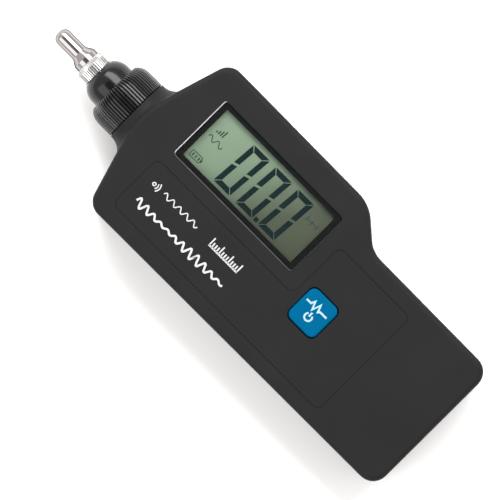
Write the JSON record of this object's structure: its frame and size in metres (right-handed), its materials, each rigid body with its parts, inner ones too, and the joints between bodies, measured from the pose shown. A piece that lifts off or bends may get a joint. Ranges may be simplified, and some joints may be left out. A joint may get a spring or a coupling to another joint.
{
  "type": "handheld vibration meter",
  "caption": "Handheld vibration meter with a pickup built into its nose, a wide head with a display, a measuring button and a narrower grip tail.",
  "frame": {"origin": "middle of the whole length and width, on the back face that the meter lies on", "axes": "+X from the probe tip to the tail, in the direction in which the display is read; +Y up across the display; +Z out of the front face"},
  "size_m": [0.185, 0.068, 0.0304],
  "materials": {
    "case_plastic": "satin moulded",
    "gloss_plastic": "gloss black",
    "frame_plastic": "matt black",
    "overlay_film": "satin film",
    "button_blue": "satin moulded",
    "lens_clear": "clear",
    "lcd_glass": "green reflective display",
    "reflector": "matt foil",
    "contact_rubber": "matt",
    "board": "solder mask",
    "chip": "matt",
    "pot_blue": "satin",
    "tin_metal": "satin",
    "screw_steel": "zinc plated",
    "knob_plastic": "satin moulded",
    "battery_can": "painted",
    "lead_pvc": "satin",
    "cable_pvc": "satin",
    "foam": "matt foam",
    "pickup_steel": "turned",
    "nut_steel": "satin nickel",
    "tip_chrome": "polished",
    "ceramic": "fired",
    "mass_brass": "turned"
  },
  "bodies": {
    "case": {"front_shell": "case_plastic", "rear_shell": "case_plastic", "display_lens": "lens_clear", "display_bezel": "frame_plastic", "lcd_glass": "lcd_glass", "lcd_rear_glass": "lcd_glass", "lcd_reflector": "reflector", "contact_strips": "contact_rubber", "face_overlay": "overlay_film", "button_switch": "tin_metal", "main_board": "board", "board_chips": "chip", "board_capacitors": "cable_pvc", "trim_pots": "pot_blue", "board_crystal": "tin_metal", "board_screws": "screw_steel", "mode_switch": "tin_metal", "range_switch": "tin_metal", "output_jack": "gloss_plastic", "battery": "battery_can", "battery_snap": "cable_pvc", "battery_leads": "lead_pvc", "battery_pad": "foam", "case_screws": "screw_steel", "knurled_collar": "gloss_plastic", "nose_sleeve": "gloss_plastic", "sleeve_seal": "contact_rubber", "pickup_housing": "pickup_steel", "pickup_cap": "pickup_steel", "piezo_rings": "ceramic", "seismic_mass": "mass_brass", "stack_screw": "screw_steel", "signal_cable": "cable_pvc"},
    "button": {"measure_button": "button_blue", "button_plunger": "knob_plastic"},
    "mode_slider": {"mode_knob": "knob_plastic"},
    "range_slider": {"range_knob": "knob_plastic"},
    "door": {"battery_door": "case_plastic"},
    "tip": {"tip_nut": "nut_steel", "probe_tip": "tip_chrome"}
  },
  "joints": [
    {"name": "button_press", "type": "slide", "parent": "case", "child": "button", "axis": [0, 0, -1], "range_m": [0, 0.0006], "stiffness_N_per_m": 800, "springref_m": -0.0002},
    {"name": "mode_slide", "type": "slide", "parent": "case", "child": "mode_slider", "axis": [1, 0, 0], "range_m": [-0.0025, 0.0025]},
    {"name": "range_slide", "type": "slide", "parent": "case", "child": "range_slider", "axis": [1, 0, 0], "range_m": [0, 0.0025]},
    {"name": "door_slide", "type": "slide", "parent": "case", "child": "door", "axis": [1, 0, 0], "range_m": [0, 0.064]},
    {"name": "tip_unscrew", "type": "slide", "parent": "case", "child": "tip", "axis": [-1, 0, 0], "range_m": [0, 0.009]}
  ]
}
